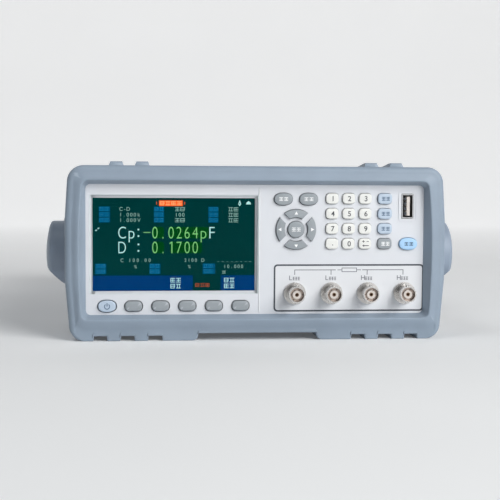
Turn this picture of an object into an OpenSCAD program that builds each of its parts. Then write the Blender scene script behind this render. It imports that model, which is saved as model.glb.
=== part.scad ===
// Bench LCR meter: half-rack metal case between two rubber bumpers, keypad and
// screen on a moulded front panel, four coaxial terminals, swinging carry handle.
// X runs to the right of the front panel, Y from the front to the rear, Z up.

/* [Case] */
// Width of the metal case
case_w = 213; // [211:1:214]
// Height of the metal case
case_h = 86; // [85:0.5:87]
// Depth from the front panel's face to the rear panel's face
case_d = 320; // [300:5:360]
// Thickness of the sheet metal
sheet_t = 1.2; // [1:0.1:1.6]
// Height of the panel's centre above the feet
centre_z = 52.6; // [52.5:0.1:54]

/* [Front panel] */
// Thickness of the moulded front panel
panel_t = 3; // [2.5:0.1:3]
// Width of the panel that shows inside the bumper
panel_w = 201; // [201:0.5:203]
// Height of the panel that shows inside the bumper
panel_h = 76; // [74:0.2:76.4]
// Width of the lit part of the screen
screen_w = 95; // [94:0.1:96]
// Height of the lit part of the screen
screen_h = 54.6; // [53:0.1:55]
// Place of the screen's centre, across and up from the panel's centre
screen_at = [-48.8, 3.4];

/* [Keys] */
// How far a key stands out of the panel
key_out = 1.6; // [1.2:0.1:2]
// How far a key travels when it is pressed
key_travel = 1; // [0.6:0.1:1]
// Gap between a key and the edge of its hole
key_gap = 0.3; // [0.2:0.05:0.4]
// Size of a number key
num_size = [7.4, 6.2];
// Pitch of the number keys, across and down
num_pitch = [9.9, 8.9];
// Place of the first number key
num_at = [44.25, 30.7];
// Size of a soft key below the screen
soft_size = [10.4, 6.2];
// Pitch of the soft keys
soft_pitch = 15.65; // [15:0.05:16]
// Size of the oval keys
oval_size = [10.8, 7.1];
// Place of the arrow keys' centre
ring_at = [22.8, 12.4];
// Outer radius of the arrow keys
ring_r = 11.8; // [11.4:0.1:12]
// Inner radius of the arrow keys
ring_hole_r = 7.1; // [6.9:0.1:7.4]
// Radius of the middle key
enter_r = 4.9; // [4.7:0.1:5.2]

/* [Terminals] */
// Pitch of the coaxial terminals
bnc_pitch = 22; // [21:0.1:22]
// Radius of a terminal's bayonet barrel
bnc_r = 4.8; // [4.75:0.01:4.85]
// How far a terminal stands out of the panel
bnc_out = 11.4; // [10:0.1:12]
// Place of the first terminal
bnc_at = [22.3, -25.4];
// Place of the memory port
usb_at = [89.8, 26.3];

/* [Bumpers] */
// Half-width of a bumper at the middle of its sides
bumper_half_w = 112.1; // [111.8:0.1:112.3]
// How far the front bumper's lip stands in front of the panel
lip_out = 6.3; // [5:0.1:7]
// How far the rear bumper stands behind the rear panel
rear_out = 14; // [12:1:16]
// How far a bumper reaches along the case
bumper_grip = 24; // [22:1:28]

/* [Handle] */
// Radius of a handle hub
hub_r = 19.3; // [18:0.1:19.5]
// Distance of the pivot axis behind the panel's face, and height above its centre
hub_at = [37, -3.2];
// Distance from the pivot axis to the middle of the grip
arm_len = 125; // [120:1:135]
// Width of the grip
grip_w = 30; // [26:1:32]
// Radius of the pivot shafts
pivot_r = 5; // [4.5:0.1:6]

/* [Hidden] */
$fn = 48;

// Front and rear ends of the whole object, and the shift that centres it on the origin
front_y = -bnc_out;
rear_y = case_d + rear_out;
shift_y = -(front_y + rear_y) / 2;

// Outline of a bumper, up and down from the panel's centre
bumper_top = 49.4;
bumper_base = -48.4;
ridge_top = 51.8;
notch_base = -49.7;
foot_base = -centre_z;
flare_half_z = 17;
corner_r = 9;
// Gap between a bumper and the case that it grips
sleeve_gap = 0.3;
// Edges of the feet, outwards from the middle: starts and ends
feet_x = [[35, 56], [63.8, 72.1], [79.9, 87.9], [95.5, 103]];
ridges_x = [[63.8, 71.2], [78.8, 86.2]];

// Places of the layers behind the panel
flange_y = panel_t + 0.2;
flange_t = 0.8;
stem_end = flange_y + flange_t + 0.6;
plunger_y = stem_end + key_travel + 0.2;
board_y = plunger_y + 3.8;
board_t = 1.6;
lcd_y = panel_t + 0.6;
lcd_size = [105.5, 4.6, 62.5];
frame_y = board_y + board_t + 2;

// Radii and places of the terminals and their nuts
bnc_flange_r = 6.5;
bnc_flange_t = 1.5;
bnc_bore_r = 4.05;
bnc_core_r = 2.5;
bnc_thread_r = 4.6;
bnc_rear = 12;
// Plain stretch of barrel in front of the bayonet lugs
bnc_lead = 3;

// Handle: the folded angle lays the grip on the cover
grip_t = 6.2;
grip_gap = 0.9;
grip_z = case_h / 2 + grip_gap + grip_t / 2;
rest_angle = asin((grip_z - hub_at[1]) / arm_len);
grip_y = hub_at[0] + arm_len * cos(rest_angle);
arm_in = 112.8;
arm_t = 3.4;
arm_end_r = 8.5;
hub_in = 109;
hub_rim = 122.6;
hub_out = 125.5;
grip_half = 104;

// Floor of the tray and underside of the circuit boards, from the panel's centre
floor_z = -case_h / 2 + sheet_t;
pcb_z = floor_z + 8;
main_pcb = [[-98, 34], [40, 290]];
psu_pcb = [[48, 150], [99, 306]];

// Screws: along the cover's sides, and around the rear panel
side_screws_y = [60, 170, 280];
side_screw_z = -case_h / 2 + 9;
rear_screws = [for (x = [-96, 96]) for (z = [-32, 32]) [x, z]];
inlet_at = [76, -12];
inlet_screws = [for (s = [-1, 1]) inlet_at + [s * 20, 0]];
inlet_flange_t = 2.5;
screw_r = 1.45;
screw_hole_r = 1.6;

// ---- helpers -----------------------------------------------------------------

// Puts the drawing, made around the panel's face, in the part's own frame
module placed() {
  translate([0, shift_y, centre_z]) children();
}

// Raises a drawing made in X and Z, from y = from to y = to
module raise(from, to) {
  translate([0, to, 0]) rotate([90, 0, 0]) linear_extrude(to - from) children();
}

// Raises a drawing made in Y and Z along X, from x = from to x = to
module raise_x(from, to) {
  translate([from, 0, 0]) rotate([90, 0, 90]) linear_extrude(to - from) children();
}

// A box given by two opposite corners
module block(low, high) {
  translate(low) cube(high - low);
}

// Rounded rectangle about the origin
module rounded(w, h, r) {
  square([w - 2 * r, h], center = true);
  square([w, h - 2 * r], center = true);
  for (x = [-1, 1], z = [-1, 1]) translate([x * (w / 2 - r), z * (h / 2 - r)]) circle(r);
}

// Soft-cornered oval about the origin
function oval(w, h) = [for (a = [0 : 7.5 : 359])
  [sign(cos(a)) * pow(abs(cos(a)), 0.86) * w / 2, sign(sin(a)) * pow(abs(sin(a)), 0.86) * h / 2]];

// Points along an arc, its end included
function arc(c, r, from, to, steps = 8) = [for (i = [0 : steps])
  let (a = from + (to - from) * i / steps) c + r * [cos(a), sin(a)]];

// A bar between two round ends of different radii
module tapered_bar(a, ra, b, rb) {
  d = norm(b - a);
  dir = atan2(b[1] - a[1], b[0] - a[0]);
  lean = acos((ra - rb) / d);
  translate(a) circle(ra);
  translate(b) circle(rb);
  polygon([for (e = [[a, ra, lean], [a, ra, -lean], [b, rb, -lean], [b, rb, lean]])
    e[0] + e[1] * [cos(dir + e[2]), sin(dir + e[2])]]);
}

// ---- bumpers -----------------------------------------------------------------

// Outline of a bumper seen from the front, drawn in by "inset" all round
module bumper_outline(inset = 0, base = bumper_base) {
  w = bumper_half_w - inset;
  top_w = bumper_half_w - 2.6 - inset;
  base_w = bumper_half_w - 3.4 - inset;
  r = corner_r - inset;
  right = concat(
    arc([base_w - r, base + inset + r], r, -90, -4),
    [[w, -flare_half_z], [w, flare_half_z]],
    arc([top_w - r, bumper_top - inset - r], r, 4, 90));
  left = [for (i = [len(right) - 1 : -1 : 0]) [-right[i][0], right[i][1]]];
  polygon(concat(right, left));
}

// Solid body of a bumper, with a rounded outer front edge, y running backwards
module bumper_block(depth) {
  edges = [[0, 3.2], [0.9, 1.2], [3.2, 0]];
  for (i = [0 : 1]) hull() {
    for (e = [edges[i], edges[i + 1]])
      raise(e[0], e[0] + 0.02) bumper_outline(e[1]);
  }
  raise(3.2, depth) bumper_outline();
}

// Feet below and stacking ridges above
module bumper_treads(from, to) {
  for (s = [-1, 1]) {
    for (f = feet_x)
      raise(from, to) polygon([
        [s * (f[0] - 0.3), bumper_base + 3], [s * (f[0] - 0.3), notch_base + 0.2],
        [s * (f[0] + 0.3), foot_base], [s * (f[1] - 0.3), foot_base],
        [s * (f[1] + (f[1] > 100 ? 4 : 0.3)), notch_base + 0.2],
        [s * (f[1] + (f[1] > 100 ? 4.4 : 0.3)), bumper_base + 3]]);
    raise(from, to) polygon([
      [s * feet_x[0][1], bumper_base + 3], [s * feet_x[0][1], notch_base],
      [s * feet_x[3][0], notch_base], [s * feet_x[3][0], bumper_base + 3]]);
    for (f = ridges_x)
      raise(from + 2, to) polygon([
        [s * (f[0] - 1.2), bumper_top - 3], [s * (f[0] - 1.2), bumper_top],
        [s * (f[0] + 1), ridge_top], [s * (f[1] - 1), ridge_top],
        [s * (f[1] + 1.2), bumper_top], [s * (f[1] + 1.2), bumper_top - 3]]);
  }
}

// Mouth of a bumper: wide at the lip and narrowing to the panel
module bumper_mouth(depth) {
  hull() {
    raise(-0.5, 0) rounded(panel_w + 7, panel_h + 4.4, 4);
    raise(depth, depth + 0.5) rounded(panel_w, panel_h, 3);
  }
}

// Cavity that grips the case
module bumper_sleeve(from, to) {
  block([-case_w / 2 - sleeve_gap, from, -case_h / 2 - sleeve_gap],
    [case_w / 2 + sleeve_gap, to, case_h / 2 + sleeve_gap]);
}

module front_bumper() {
  color([0.55, 0.61, 0.69]) difference() {
    translate([0, -lip_out, 0]) {
      bumper_block(lip_out + bumper_grip);
      bumper_treads(1.5, lip_out + bumper_grip);
    }
    translate([0, -lip_out, 0]) bumper_mouth(lip_out);
    bumper_sleeve(0, bumper_grip + 1);
    // round notch that leaves room for the handle's hub
    for (s = [-1, 1]) translate([s * 112, hub_at[0], hub_at[1]])
      rotate([0, 90, 0]) cylinder(r = hub_r + 1.5, h = 14, center = true);
  }
}

module rear_bumper() {
  depth = rear_out + bumper_grip;
  color([0.55, 0.61, 0.69]) translate([0, rear_y, 0]) mirror([0, 1, 0]) difference() {
    union() {
      bumper_block(depth);
      bumper_treads(1.5, depth);
    }
    bumper_mouth(rear_out);
    bumper_sleeve(rear_out, depth + 1);
  }
}

// ---- case --------------------------------------------------------------------

// Row of upright vent slots in a side wall
module side_vents() {
  for (y = [200 : 8 : 280]) block([-case_w, y, -14], [case_w, y + 3, 22]);
}

module screw_holes() {
  for (y = side_screws_y) translate([0, y, side_screw_z])
    rotate([0, 90, 0]) cylinder(r = screw_hole_r, h = case_w + 10, center = true);
}

module top_cover() {
  w = case_w / 2;
  h = case_h / 2;
  color([0.86, 0.87, 0.88]) difference() {
    block([-w, panel_t + 0.3, -h], [w, case_d, h]);
    block([-w + sheet_t, 0, -h - 1], [w - sheet_t, case_d + 1, h - sheet_t]);
    side_vents();
    screw_holes();
    pivot_holes();
  }
}

module pivot_holes() {
  for (s = [-1, 1]) translate([s * case_w / 2, hub_at[0], hub_at[1]])
    rotate([0, 90, 0]) cylinder(r = 3.3, h = 12, center = true);
}

// Folded tray: floor, side flanges, front frame behind the keys
module chassis_tray() {
  w = case_w / 2 - sheet_t - 0.2;
  color([0.7, 0.71, 0.72]) difference() {
    union() {
      block([-w, panel_t + 0.3, -case_h / 2], [w, case_d - 1.7, floor_z]);
      for (s = [-1, 1])
        block([s > 0 ? w - sheet_t : -w, frame_y, -case_h / 2],
          [s > 0 ? w : -w + sheet_t, case_d - 1.7, -case_h / 2 + 18]);
      for (s = [-1, 1])
        block([s > 0 ? w - sheet_t : -w, frame_y, -case_h / 2],
          [s > 0 ? w : -w + sheet_t, 44, case_h / 2 - sheet_t - 0.4]);
      block([-w, frame_y, -case_h / 2], [w, frame_y + sheet_t, case_h / 2 - sheet_t - 0.4]);
    }
    block([-60, frame_y - 1, -33], [97, frame_y + 3, 30]);
    screw_holes();
    pivot_holes();
    for (x = [-72 : 16 : 72], y = [70 : 60 : 250])
      block([x, y, -case_h], [x + 3, y + 40, floor_z + 1]);
  }
}

module rear_panel() {
  color([0.78, 0.79, 0.8]) difference() {
    block([-case_w / 2 + 1.4, case_d - 1.5, -case_h / 2], [case_w / 2 - 1.4, case_d, case_h / 2 - 1.4]);
    translate([inlet_at[0], case_d, inlet_at[1]]) raise(-4, 2) rounded(27.4, 20.4, 2);
    for (p = [[serial_at, 17.4], [handler_at, 39.4]])
      translate([p[0][0], case_d, p[0][1]]) raise(-4, 2) rounded(p[1], 9, 2);
    for (s = concat(rear_screws, inlet_screws)) translate([s[0], case_d, s[1]])
      rotate([90, 0, 0]) cylinder(r = screw_hole_r, h = 8, center = true);
    for (z = [8 : 6 : 26]) block([-30, case_d - 3, z], [50, case_d + 1, z + 2.6]);
  }
}

// Every screw has the same pan head and shank
module screw() {
  rotate_extrude() polygon([[0, -7], [screw_r, -7], [screw_r, 0], [2.9, 0], [2.9, 1], [2.2, 1.7], [0, 1.7]]);
}

module case_screws() {
  color([0.75, 0.76, 0.78]) {
    for (s = [-1, 1], y = side_screws_y) translate([s * case_w / 2, y, side_screw_z])
      rotate([0, s * 90, 0]) screw();
    for (s = rear_screws) translate([s[0], case_d, s[1]]) rotate([-90, 0, 0]) screw();
    for (s = inlet_screws) translate([s[0], case_d + inlet_flange_t, s[1]]) rotate([-90, 0, 0]) screw();
  }
}

// ---- keys --------------------------------------------------------------------

// Outlines, each with a growth "g" on every side
module num_shape(g = 0) { rounded(num_size[0] + 2 * g, num_size[1] + 2 * g, 2.1 + g); }
module soft_shape(g = 0) { rounded(soft_size[0] + 2 * g, soft_size[1] + 2 * g, 2.9 + g); }
module side_shape(g = 0) { rounded(8.4 + 2 * g, 6.2 + 2 * g, 2.2 + g); }
module oval_shape(g = 0) { polygon(oval(oval_size[0] + 2 * g, oval_size[1] + 2 * g)); }
module enter_shape(g = 0) { circle(enter_r + g); }
module arrow_shape(g = 0) {
  start = 2.7 - g * 1.4;
  intersection() {
    difference() {
      circle(ring_r + g);
      circle(ring_hole_r - g);
    }
    polygon([[0, start], [20, start + 20], [-20, start + 20]]);
  }
}

// A key's cap, retaining flange and stem; the outline is child 0 and the flange child 1
module key_body(at, tint, stem_at = [0, 0]) {
  color(tint) translate([at[0], 0, at[1]]) {
    raise(-key_out, flange_y + 0.01) children(0);
    raise(flange_y, flange_y + flange_t) children(1);
    translate([stem_at[0], 0, stem_at[1]]) raise(flange_y + flange_t - 0.01, stem_end) circle(1.5);
  }
}

function num_key_at(col, row) = [num_at[0] + col * num_pitch[0], num_at[1] - row * num_pitch[1]];
function soft_key_at(i) = [-72.5 + i * soft_pitch, -32.6];
function side_key_at(row) = [75.9, num_at[1] - row * num_pitch[1]];
function oval_key_at(i) = [15.2 + i * 15, 30.3];
power_at = [-87.9, -32.5];
trigger_at = [90.2, 3.9];
arrow_stem = (ring_r + ring_hole_r) / 2;

grey = [0.62, 0.64, 0.67];
pale = [0.93, 0.93, 0.92];
blue = [0.75, 0.8, 0.88];

module number_key(col, row) {
  key_body(num_key_at(col, row), pale) { num_shape(); num_shape(0.5); }
}
module soft_key(i) {
  key_body(soft_key_at(i), grey) { soft_shape(); soft_shape(0.5); }
}
module side_key(row) {
  key_body(side_key_at(row), row < 3 ? blue : grey) { side_shape(); side_shape(0.5); }
}
module oval_key(at, tint) {
  key_body(at, tint) { oval_shape(); oval_shape(0.5); }
}
module arrow_key(quarter) {
  turn = -90 * quarter;
  key_body(ring_at, grey, arrow_stem * [sin(-turn), cos(turn)]) {
    rotate(turn) arrow_shape();
    rotate(turn) arrow_shape(0.4);
  }
}
module enter_key() {
  key_body(ring_at, grey) { enter_shape(); enter_shape(0.4); }
}

// All key holes, cut with a small gap round each key
module key_holes() {
  g = key_gap;
  for (c = [0 : 2], r = [0 : 3]) translate(num_key_at(c, r)) num_shape(g);
  for (r = [0 : 3]) translate(side_key_at(r)) side_shape(g);
  for (i = [0 : 4]) translate(soft_key_at(i)) soft_shape(g);
  for (i = [0 : 1]) translate(oval_key_at(i)) oval_shape(g);
  translate(power_at) oval_shape(g);
  translate(trigger_at) oval_shape(g);
  translate(ring_at) {
    enter_shape(g);
    for (q = [0 : 3]) rotate(-90 * q) arrow_shape(g);
  }
}

// Centre of the switch behind each key
switch_places = concat(
  [for (c = [0 : 2], r = [0 : 3]) num_key_at(c, r)],
  [for (r = [0 : 3]) side_key_at(r)],
  [for (i = [0 : 4]) soft_key_at(i)],
  [for (i = [0 : 1]) oval_key_at(i)],
  [for (q = [0 : 3]) ring_at + arrow_stem * [sin(90 * q), cos(90 * q)]],
  [ring_at, power_at, trigger_at]);

module key_switches() {
  color([0.2, 0.2, 0.22]) for (p = switch_places) translate([p[0], 0, p[1]]) {
    raise(plunger_y, board_y - 2.7) circle(1.7);
    raise(board_y - 2.8, board_y) square(6, center = true);
  }
}

module key_board() {
  color([0.1, 0.35, 0.2]) raise(board_y, board_y + board_t) {
    translate([-101, -6]) square([202, 44]);
    translate([-101, -39]) square([105, 34]);
  }
}

// ---- front panel -------------------------------------------------------------

module front_panel() {
  lens = [screen_w + 3.4, screen_h + 3.4];
  color([0.87, 0.89, 0.92]) difference() {
    union() {
      block([-case_w / 2 + 0.4, 0, -case_h / 2 + 0.2], [case_w / 2 - 0.4, panel_t, case_h / 2 - 0.2]);
      // raised lip round the memory port
      translate([usb_at[0], 0, usb_at[1]]) raise(-0.3, 0.1) difference() {
        rounded(10.8, 18.2, 2);
        rounded(10, 17.4, 1.6);
      }
    }
    raise(-1, panel_t + 1) key_holes();
    // screen opening, with a seat for the window
    translate([screen_at[0], 0, screen_at[1]]) {
      raise(-1, panel_t + 1) rounded(screen_w, screen_h, 0.6);
      raise(-1, 1.5) rounded(lens[0], lens[1], 1);
    }
    // groove between the screen side and the key side
    block([0.2, -1, -panel_h / 2 + 1.5], [0.9, 0.4, panel_h / 2 - 1.5]);
    for (i = [0 : 3]) translate([bnc_at[0] + i * bnc_pitch, 0, bnc_at[1]])
      raise(-1, panel_t + 1) circle(bnc_thread_r + 0.1);
    translate([usb_at[0], 0, usb_at[1]]) raise(-1, panel_t + 1) rounded(7.4, 15, 0.5);
  }
}

module screen_window() {
  color([0.6, 0.7, 0.75, 0.4]) translate([screen_at[0], 0, screen_at[1]])
    raise(0.2, 1.5) rounded(screen_w + 3.2, screen_h + 3.2, 0.9);
}

module lcd_module() {
  color([0.05, 0.2, 0.2]) translate([screen_at[0], lcd_y, screen_at[1]]) {
    block([-lcd_size[0] / 2, 0, -31.3], [lcd_size[0] / 2, lcd_size[1], -31.3 + lcd_size[2]]);
    raise(-0.6, 0.01) square([screen_w - 0.4, screen_h - 0.4], center = true);
  }
}

// ---- terminals ---------------------------------------------------------------

// Repeats its children at each terminal, with local z pointing out of the panel
module at_each_bnc() {
  for (i = [0 : 3]) translate([bnc_at[0] + i * bnc_pitch, 0, bnc_at[1]])
    rotate([90, 0, 0]) children();
}

module bnc_shells() {
  color([0.8, 0.8, 0.82]) at_each_bnc() difference() {
    union() {
      translate([0, 0, bnc_out - bnc_lead]) cylinder(r = bnc_r, h = bnc_lead);
      cylinder(r = bnc_r - 0.2, h = bnc_out - 1);
      cylinder(r = bnc_flange_r, h = bnc_flange_t);
      translate([0, 0, -bnc_rear]) cylinder(r = bnc_thread_r, h = bnc_rear + 0.1);
      // the two bayonet lugs
      translate([0, 0, bnc_out - bnc_lead - 1.2]) rotate([90, 0, 0]) cylinder(r = 1, h = 11, center = true);
    }
    translate([0, 0, 0.4]) cylinder(r = bnc_bore_r, h = bnc_out);
    translate([0, 0, -bnc_rear - 1]) cylinder(r = 2.6, h = bnc_rear + bnc_out);
  }
}

module bnc_nuts() {
  color([0.75, 0.75, 0.76]) at_each_bnc() translate([0, 0, -panel_t - 2.6]) difference() {
    cylinder(r = 8, h = 2.5, $fn = 6);
    translate([0, 0, -1]) cylinder(r = bnc_thread_r + 0.05, h = 5);
  }
}

module bnc_insulators() {
  color([0.95, 0.95, 0.93]) at_each_bnc() difference() {
    translate([0, 0, -bnc_rear]) cylinder(r = bnc_core_r, h = bnc_rear + bnc_out - 1.2);
    translate([0, 0, -bnc_rear - 1]) cylinder(r = 1.15, h = bnc_rear + bnc_out + 2);
  }
}

module bnc_contacts() {
  color([0.85, 0.7, 0.35]) at_each_bnc() difference() {
    translate([0, 0, -bnc_rear - 4]) cylinder(r = 1.1, h = bnc_rear + bnc_out + 2.6);
    translate([0, 0, 2]) cylinder(r = 0.7, h = bnc_out);
  }
}

module usb_shell() {
  color([0.8, 0.8, 0.82]) translate([usb_at[0], 0, usb_at[1]]) difference() {
    raise(-0.3, board_y - 0.1) rounded(7, 14.5, 0.6);
    raise(-1, board_y - 1) rounded(5.9, 13.2, 0.3);
  }
}

module usb_tongue() {
  color([0.95, 0.95, 0.95]) translate([usb_at[0], 0, usb_at[1]]) {
    block([-0.4, 0.5, -5.6], [1.5, board_y - 2.9, 5.6]);
    block([-2.9, board_y - 3, -6.5], [2.9, board_y - 1.05, 6.5]);
    for (z = [-3.5, -1.1, 1.1, 3.5]) block([-0.8, 1.2, z - 0.5], [-0.3, board_y - 2.9, z + 0.5]);
  }
}

// ---- inside ------------------------------------------------------------------

module board_holes(corners) {
  for (x = [corners[0][0] + 5, corners[1][0] - 5], y = [corners[0][1] + 5, corners[1][1] - 5])
    translate([x, y, 0]) children();
}

module main_board() {
  top = pcb_z + board_t;
  color([0.1, 0.35, 0.2]) {
    difference() {
      block([main_pcb[0][0], main_pcb[0][1], pcb_z], [main_pcb[1][0], main_pcb[1][1], top]);
      board_holes(main_pcb) translate([0, 0, pcb_z - 1]) cylinder(r = screw_hole_r, h = 4);
    }
    // processor, logic and memory chips, and plug headers
    block([-80, 200, top], [-56, 224, top + 2.2]);
    block([-40, 205, top], [-24, 221, top + 1.6]);
    for (y = [150, 165, 180]) block([-84, y, top], [-70, y + 8, top + 1.4]);
    for (x = [-60 : 25 : 15]) block([x, 38, top], [x + 16, 44, top + 8]);
    for (x = [-50 : 20 : 10]) translate([x, 255, top]) cylinder(r = 4, h = 11);
  }
}

// Tin cover over the measuring stage
module shield_can() {
  low = [-62, 60, pcb_z + board_t];
  high = [30, 140, pcb_z + board_t + 16];
  color([0.78, 0.79, 0.8]) difference() {
    block(low, high);
    block(low + [0.5, 0.5, -1], high - [0.5, 0.5, 0.5]);
    for (x = [-50 : 16 : 16], y = [76 : 16 : 124])
      translate([x + 2, y, 0]) cylinder(r = 2, h = 60, center = true);
  }
}

module psu_board() {
  top = pcb_z + board_t;
  color([0.65, 0.5, 0.25]) {
    difference() {
      block([psu_pcb[0][0], psu_pcb[0][1], pcb_z], [psu_pcb[1][0], psu_pcb[1][1], top]);
      board_holes(psu_pcb) translate([0, 0, pcb_z - 1]) cylinder(r = screw_hole_r, h = 4);
    }
    // reservoir capacitors and the heat sink's fins
    for (x = [62, 84]) translate([x, 176, top - 0.01]) cylinder(r = 8, h = 32);
    translate([0, 0, top - 0.01]) {
      block([54, 268, 0], [94, 271, 40]);
      for (x = [56 : 6 : 92]) block([x, 271, 0], [x + 1.6, 284, 40]);
    }
  }
}

module psu_transformer() {
  z = pcb_z + board_t;
  color([0.8, 0.7, 0.2]) {
    block([54, 200, z + 4], [94, 250, z + 34]);
    block([62, 206, z], [86, 244, z + 38]);
  }
}

module standoffs() {
  color([0.8, 0.7, 0.4]) for (b = [main_pcb, psu_pcb]) board_holes(b) {
    translate([0, 0, floor_z]) cylinder(r = 3.2, h = 8, $fn = 6);
    translate([0, 0, floor_z + 7]) cylinder(r = screw_r, h = 4);
  }
}

// ---- rear connectors ---------------------------------------------------------

serial_at = [-78, -14];
handler_at = [-20, -14];
inlet_pins_at = [[-7, -2], [7, -2], [0, 3]];

module inlet_body() {
  color([0.12, 0.12, 0.13]) translate([inlet_at[0], case_d, inlet_at[1]]) difference() {
    union() {
      raise(0, inlet_flange_t) rounded(50, 23, 3);
      raise(-18, 0.1) rounded(27, 20, 2);
    }
    raise(-16, 3) polygon([[-12, -8.2], [12, -8.2], [12, 3.2], [7, 8.2], [-7, 8.2], [-12, 3.2]]);
    for (p = inlet_pins_at) translate([p[0], 0, p[1]]) raise(-19, -15) square([2.1, 4.1], center = true);
    for (x = [-20, 20]) translate([x, 0, 0]) raise(-1, 3) circle(screw_hole_r);
  }
}

module inlet_pins() {
  color([0.8, 0.8, 0.8]) for (p = inlet_pins_at)
    translate([inlet_at[0] + p[0], case_d, inlet_at[1] + p[1]]) raise(-26, -3) square([2, 4], center = true);
}

// D-shaped connector with its flange and jack screws
module d_port(at, d_w, flange_w) {
  translate([at[0], case_d, at[1]]) {
    raise(0, 1) rounded(flange_w, 12.5, 1);
    raise(-9, 6) polygon([[-d_w / 2, 4.1], [d_w / 2, 4.1], [d_w / 2 - 1.5, -4.1], [-d_w / 2 + 1.5, -4.1]]);
    for (s = [-1, 1]) translate([s * (flange_w / 2 - 3.2), 0, 0]) raise(0.5, 6) circle(2.6, $fn = 6);
  }
}

module serial_port() {
  color([0.75, 0.76, 0.77]) d_port(serial_at, 16.9, 30.8);
}

module handler_port() {
  color([0.75, 0.76, 0.77]) d_port(handler_at, 38.9, 53);
}

// ---- handle ------------------------------------------------------------------

// Domed hub, turned about the pivot axis; its profile runs from the axis outwards
module hub() {
  sag = hub_out - hub_rim;
  dome_r = (hub_r * hub_r + sag * sag) / (2 * sag);
  translate([0, hub_at[0], hub_at[1]]) rotate([0, 90, 0]) difference() {
    rotate_extrude($fn = 96) polygon(concat(
      [[0, hub_in], [hub_r, hub_in], [hub_r, hub_rim - 1.4], [hub_r - 0.5, hub_rim - 0.3]],
      [for (r = [17 : -2 : 1]) [r, hub_out - dome_r + sqrt(dome_r * dome_r - r * r)]],
      [[0, hub_out]]));
    translate([0, 0, hub_in - 1]) cylinder(r = pivot_r + 0.05, h = 11);
  }
}

// Cross-section of the grip, seen from the side
module grip_section(t = grip_t, w = grip_w) {
  square([w - t, t], center = true);
  for (y = [-1, 1]) translate([y * (w - t) / 2, 0]) circle(t / 2);
}

// Right-hand arm: hub, tapered arm and the elbow that takes the grip
module arm() {
  difference() {
    union() {
      hub();
      // the arm and elbow, with their outer edge rounded off along the top
      intersection() {
        union() {
          raise_x(arm_in, arm_in + arm_t) difference() {
            tapered_bar(hub_at, 12, [grip_y, grip_z + grip_t / 2 - arm_end_r], arm_end_r);
            translate(hub_at) circle(hub_r - 3);
          }
          intersection() {
            raise_x(grip_half, arm_in + arm_t) translate([grip_y, grip_z]) grip_section();
            translate([0, grip_y, 0]) linear_extrude(200) rounded(2 * (arm_in + arm_t), grip_w, 10);
          }
        }
        raise(0, 300) rounded(2 * (arm_in + arm_t), 2 * grip_z + grip_t, 9);
      }
    }
    // slanted underside of the hub
    raise(0, 80) polygon([[127, -8.6], [112.7, -24.2], [112.7, -31], [136, -31], [136, -8.6]]);
  }
}

module handle_arm_right() {
  color([0.52, 0.58, 0.66]) arm();
}

module handle_arm_left() {
  color([0.52, 0.58, 0.66]) mirror([1, 0, 0]) arm();
}

module handle_grip() {
  color([0.45, 0.5, 0.58]) raise_x(-grip_half, grip_half) translate([grip_y, grip_z]) grip_section();
}

// Pivot bosses: a plate on the case, the shaft in the hub, and its thread
module handle_pivots() {
  color([0.6, 0.6, 0.62]) for (s = [-1, 1]) translate([0, hub_at[0], hub_at[1]]) rotate([0, s * 90, 0]) {
    translate([0, 0, case_w / 2]) cylinder(r = 15, h = 2);
    translate([0, 0, case_w / 2 + 1]) cylinder(r = pivot_r, h = hub_in + 9 - case_w / 2 - 1);
    translate([0, 0, case_w / 2 - 5]) cylinder(r = 3.1, h = 6);
  }
}

placed() front_bumper();
placed() rear_bumper();
placed() top_cover();
placed() chassis_tray();
placed() front_panel();
placed() screen_window();
placed() lcd_module();
placed() key_board();
placed() key_switches();
placed() oval_key(power_at, blue);  // key_power
placed() soft_key(0);  // key_soft_1
placed() soft_key(1);  // key_soft_2
placed() soft_key(2);  // key_soft_3
placed() soft_key(3);  // key_soft_4
placed() soft_key(4);  // key_soft_5
placed() oval_key(oval_key_at(0), grey);  // key_oval_left
placed() oval_key(oval_key_at(1), grey);  // key_oval_right
placed() arrow_key(0);  // key_up
placed() arrow_key(1);  // key_right
placed() arrow_key(2);  // key_down
placed() arrow_key(3);  // key_left
placed() enter_key();  // key_enter
placed() number_key(0, 0);  // key_1
placed() number_key(1, 0);  // key_2
placed() number_key(2, 0);  // key_3
placed() number_key(0, 1);  // key_4
placed() number_key(1, 1);  // key_5
placed() number_key(2, 1);  // key_6
placed() number_key(0, 2);  // key_7
placed() number_key(1, 2);  // key_8
placed() number_key(2, 2);  // key_9
placed() number_key(0, 3);  // key_dot
placed() number_key(1, 3);  // key_0
placed() number_key(2, 3);  // key_sign
placed() side_key(0);  // key_side_1
placed() side_key(1);  // key_side_2
placed() side_key(2);  // key_side_3
placed() side_key(3);  // key_side_4
placed() oval_key(trigger_at, [0.65, 0.8, 0.96]);  // key_trigger
placed() bnc_shells();
placed() bnc_nuts();
placed() bnc_insulators();
placed() bnc_contacts();
placed() usb_shell();
placed() usb_tongue();
placed() main_board();
placed() shield_can();
placed() psu_board();
placed() psu_transformer();
placed() standoffs();
placed() rear_panel();
placed() inlet_body();
placed() inlet_pins();
placed() serial_port();
placed() handler_port();
placed() handle_arm_left();
placed() handle_arm_right();
placed() handle_grip();
placed() handle_pivots();
placed() case_screws();
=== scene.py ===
"""Bench LCR meter: looks, light and camera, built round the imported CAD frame."""
import bmesh
import bpy
from math import atan2, cos, degrees, pi, radians, sin, sqrt
from mathutils import Matrix, Vector


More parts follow.
